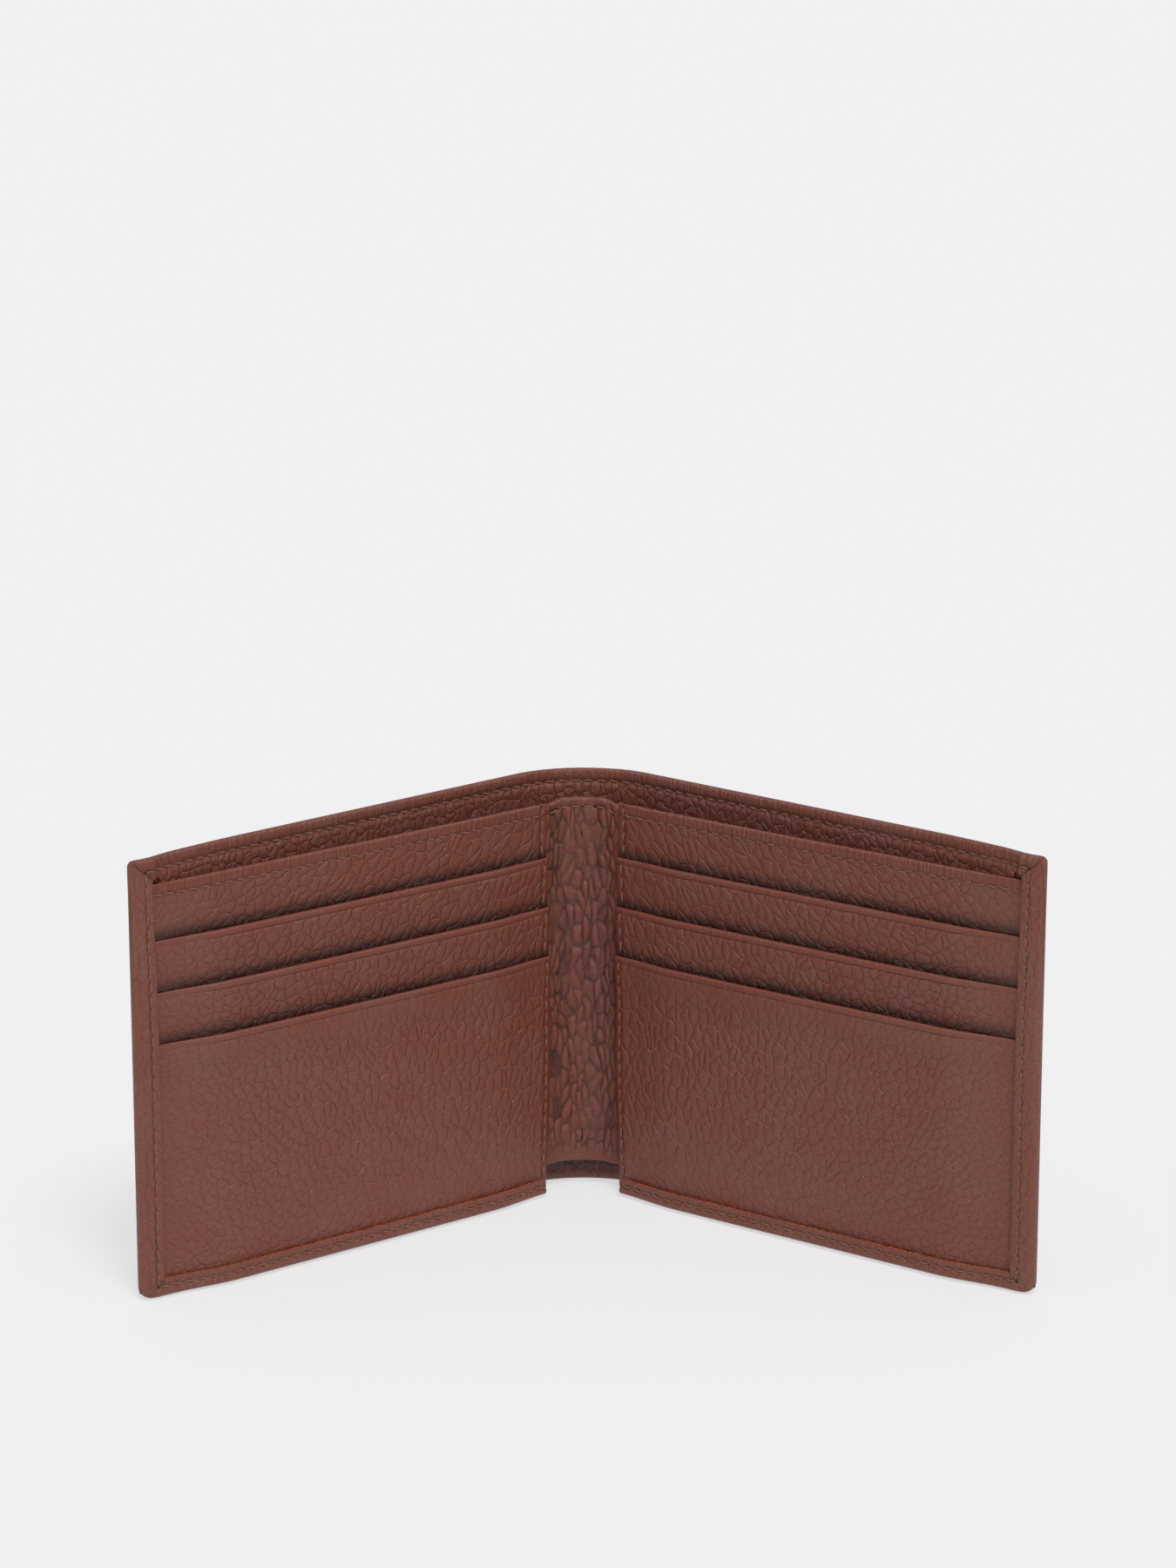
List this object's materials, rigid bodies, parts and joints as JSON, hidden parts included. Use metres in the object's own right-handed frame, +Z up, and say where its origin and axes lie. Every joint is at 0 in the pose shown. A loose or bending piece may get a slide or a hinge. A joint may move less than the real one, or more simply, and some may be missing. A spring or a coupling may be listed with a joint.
{
  "type": "bifold wallet",
  "caption": "Leather bifold wallet standing open on its lower edge, with stepped card pockets on both leaves, an open bill compartment behind them and a folding spine.",
  "frame": {"origin": "middle of the footprint, on the surface that the wallet stands on", "axes": "+Z up along the height, +X across the open wallet to the right, +Y towards the back of the spine, so the inside faces -Y"},
  "size_m": [0.1908, 0.0782, 0.0945],
  "materials": {
    "cover_leather": "satin",
    "pocket_leather": "satin",
    "strip_leather": "satin",
    "lining_cloth": "matte",
    "thread": "matte"
  },
  "bodies": {
    "spine": {"cover_spine": "cover_leather", "bill_lining_spine": "lining_cloth", "centre_strip": "strip_leather", "seam_cover_top_spine": "thread", "seam_strip_top": "thread"},
    "left_leaf": {"cover_left": "cover_leather", "bill_lining_left": "lining_cloth", "divider_left": "lining_cloth", "back_panel_left": "pocket_leather", "pocket_upper_left": "pocket_leather", "pocket_upper_lining_left": "lining_cloth", "pocket_middle_left": "pocket_leather", "pocket_middle_lining_left": "lining_cloth", "pocket_lower_left": "pocket_leather", "strip_wing_left": "strip_leather", "seam_cover_top_left": "thread", "seam_panel_top_left": "thread", "seam_edge_left": "thread", "seam_inner_left": "thread"},
    "right_leaf": {"cover_right": "cover_leather", "bill_lining_right": "lining_cloth", "divider_right": "lining_cloth", "back_panel_right": "pocket_leather", "pocket_upper_right": "pocket_leather", "pocket_upper_lining_right": "lining_cloth", "pocket_middle_right": "pocket_leather", "pocket_middle_lining_right": "lining_cloth", "pocket_lower_right": "pocket_leather", "strip_wing_right": "strip_leather", "seam_cover_top_right": "thread", "seam_panel_top_right": "thread", "seam_edge_right": "thread", "seam_inner_right": "thread"}
  },
  "joints": [
    {"name": "left_hinge", "type": "hinge", "parent": "spine", "child": "left_leaf", "pos_m": [-0.006, 0.03204, 0], "axis": [0, 0, 1], "range_deg": [-37.5, 52.5]},
    {"name": "right_hinge", "type": "hinge", "parent": "spine", "child": "right_leaf", "pos_m": [0.006, 0.03204, 0], "axis": [0, 0, -1], "range_deg": [-37.5, 52.5]}
  ],
  "couplings": [
    {"joint": "right_hinge", "follows": "left_hinge", "ratio": 1}
  ]
}
